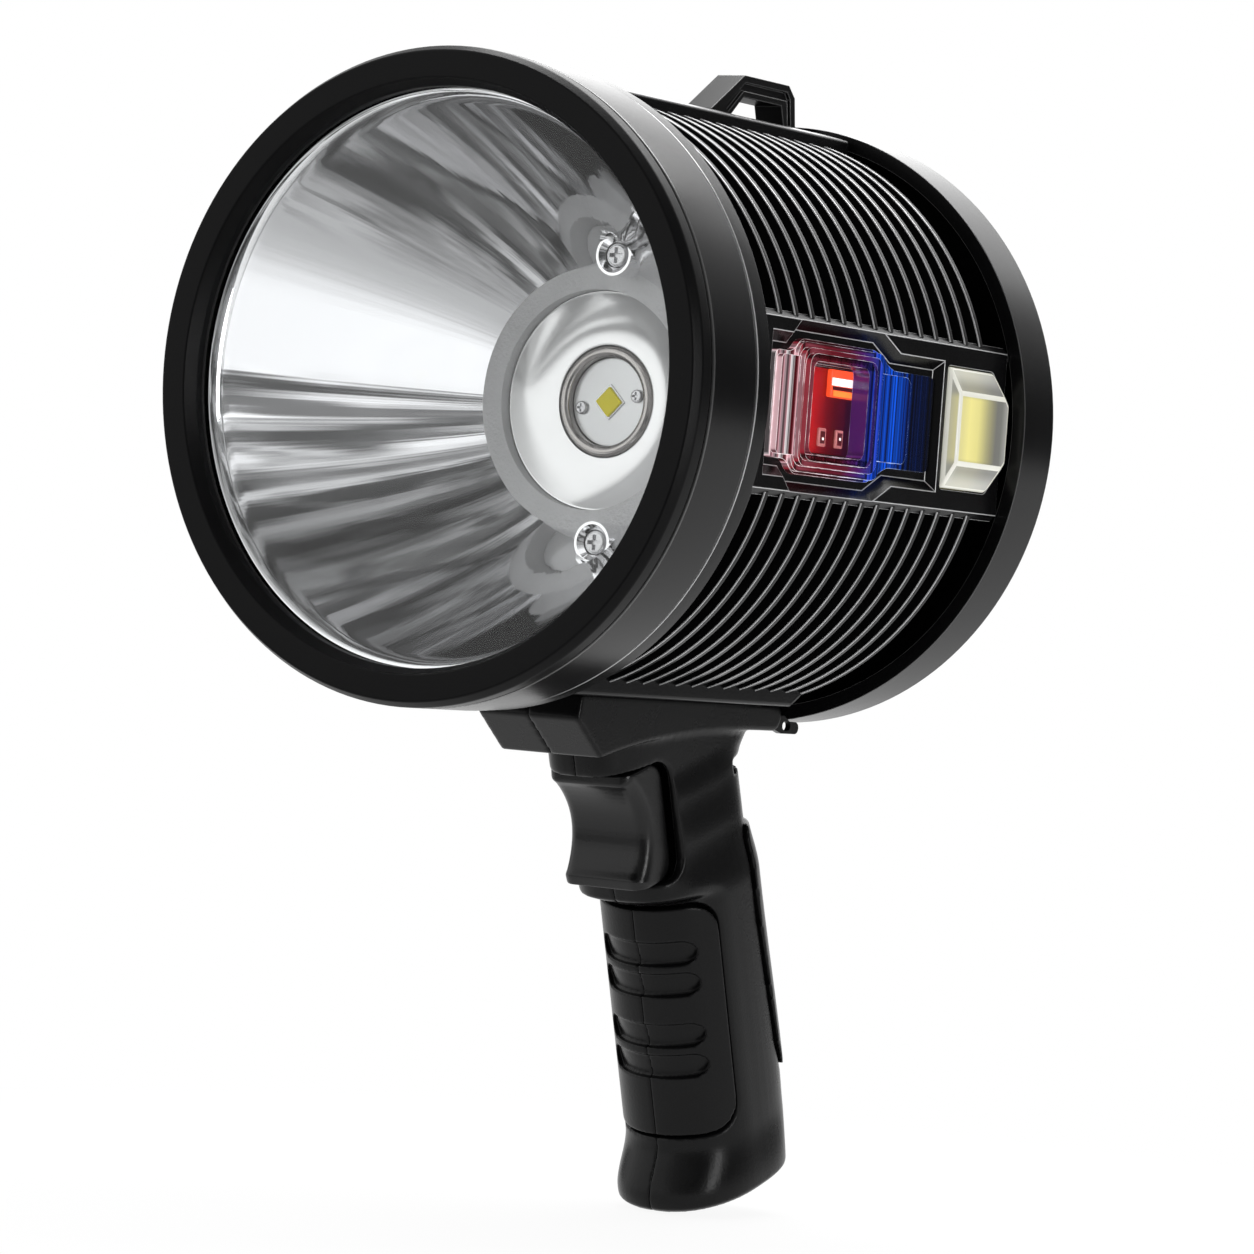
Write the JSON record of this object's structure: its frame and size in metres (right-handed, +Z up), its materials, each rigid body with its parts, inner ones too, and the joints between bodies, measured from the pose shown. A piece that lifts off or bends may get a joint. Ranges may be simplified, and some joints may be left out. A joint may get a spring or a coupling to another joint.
{
  "type": "flashlight",
  "caption": "Pistol-grip searchlight with a round finned head, deep mirror reflector, coloured side beacon, side lamp, carry loop and a sliding trigger.",
  "frame": {"origin": "centre of the flat rear face of the rear cover, on the axis of the head", "axes": "+Y out of the rear face, so the beam leaves along -Y; +Z up through the carry loop; +X to the side with the beacon"},
  "size_m": [0.14, 0.1539, 0.2601],
  "materials": {
    "black_shell": "satin moulded black",
    "grip_plastic": "satin moulded black",
    "rubber": "soft-touch black",
    "clear_lens": "clear polished",
    "mirror_coat": "vacuum-coated mirror",
    "screw_steel": "zinc-plated",
    "sink_metal": "fine textured grey",
    "polished_ring": "polished",
    "emitter_plate": "matt white-grey",
    "phosphor": "yellow phosphor",
    "beacon_clear": "clear polished",
    "dark_board": "solder-masked",
    "red_glow": "clear red",
    "blue_glow": "clear blue",
    "frosted_lens": "frosted",
    "green_board": "solder-masked",
    "cell_wrap": "shrink-wrapped",
    "switch_red": "moulded",
    "switch_case": "moulded"
  },
  "bodies": {
    "housing": {"bezel_ring": "black_shell", "lens_seal": "rubber", "front_lens": "clear_lens", "reflector": "mirror_coat", "reflector_screws": "screw_steel", "heat_sink": "sink_metal", "emitter_dish": "mirror_coat", "emitter_retainer": "polished_ring", "emitter_board": "emitter_plate", "emitter_chip": "phosphor", "board_screws": "screw_steel", "front_collar": "black_shell", "finned_barrel": "black_shell", "beacon_lens": "beacon_clear", "beacon_board": "dark_board", "red_light": "red_glow", "blue_light": "blue_glow", "beacon_resistors": "dark_board", "side_lamp_lens": "frosted_lens", "side_lamp_board": "phosphor", "carry_loop": "black_shell", "rear_cover": "black_shell", "rear_seal": "rubber", "rear_screws": "screw_steel", "driver_board": "green_board", "battery_tray": "black_shell", "battery_cells": "cell_wrap", "grip_shell_right": "grip_plastic", "grip_shell_left": "grip_plastic", "grip_screws": "screw_steel", "saddle_screws": "screw_steel", "trigger_switch": "switch_case", "front_grip_pad": "rubber", "rear_grip_pad": "rubber", "charge_socket": "polished_ring"},
    "trigger": {"trigger": "grip_plastic", "switch_plunger": "switch_red"}
  },
  "joints": [
    {"name": "trigger_slide", "type": "slide", "parent": "housing", "child": "trigger", "axis": [0, 0.9494, 0.314], "range_m": [0, 0.004], "stiffness_N_per_m": 800}
  ]
}
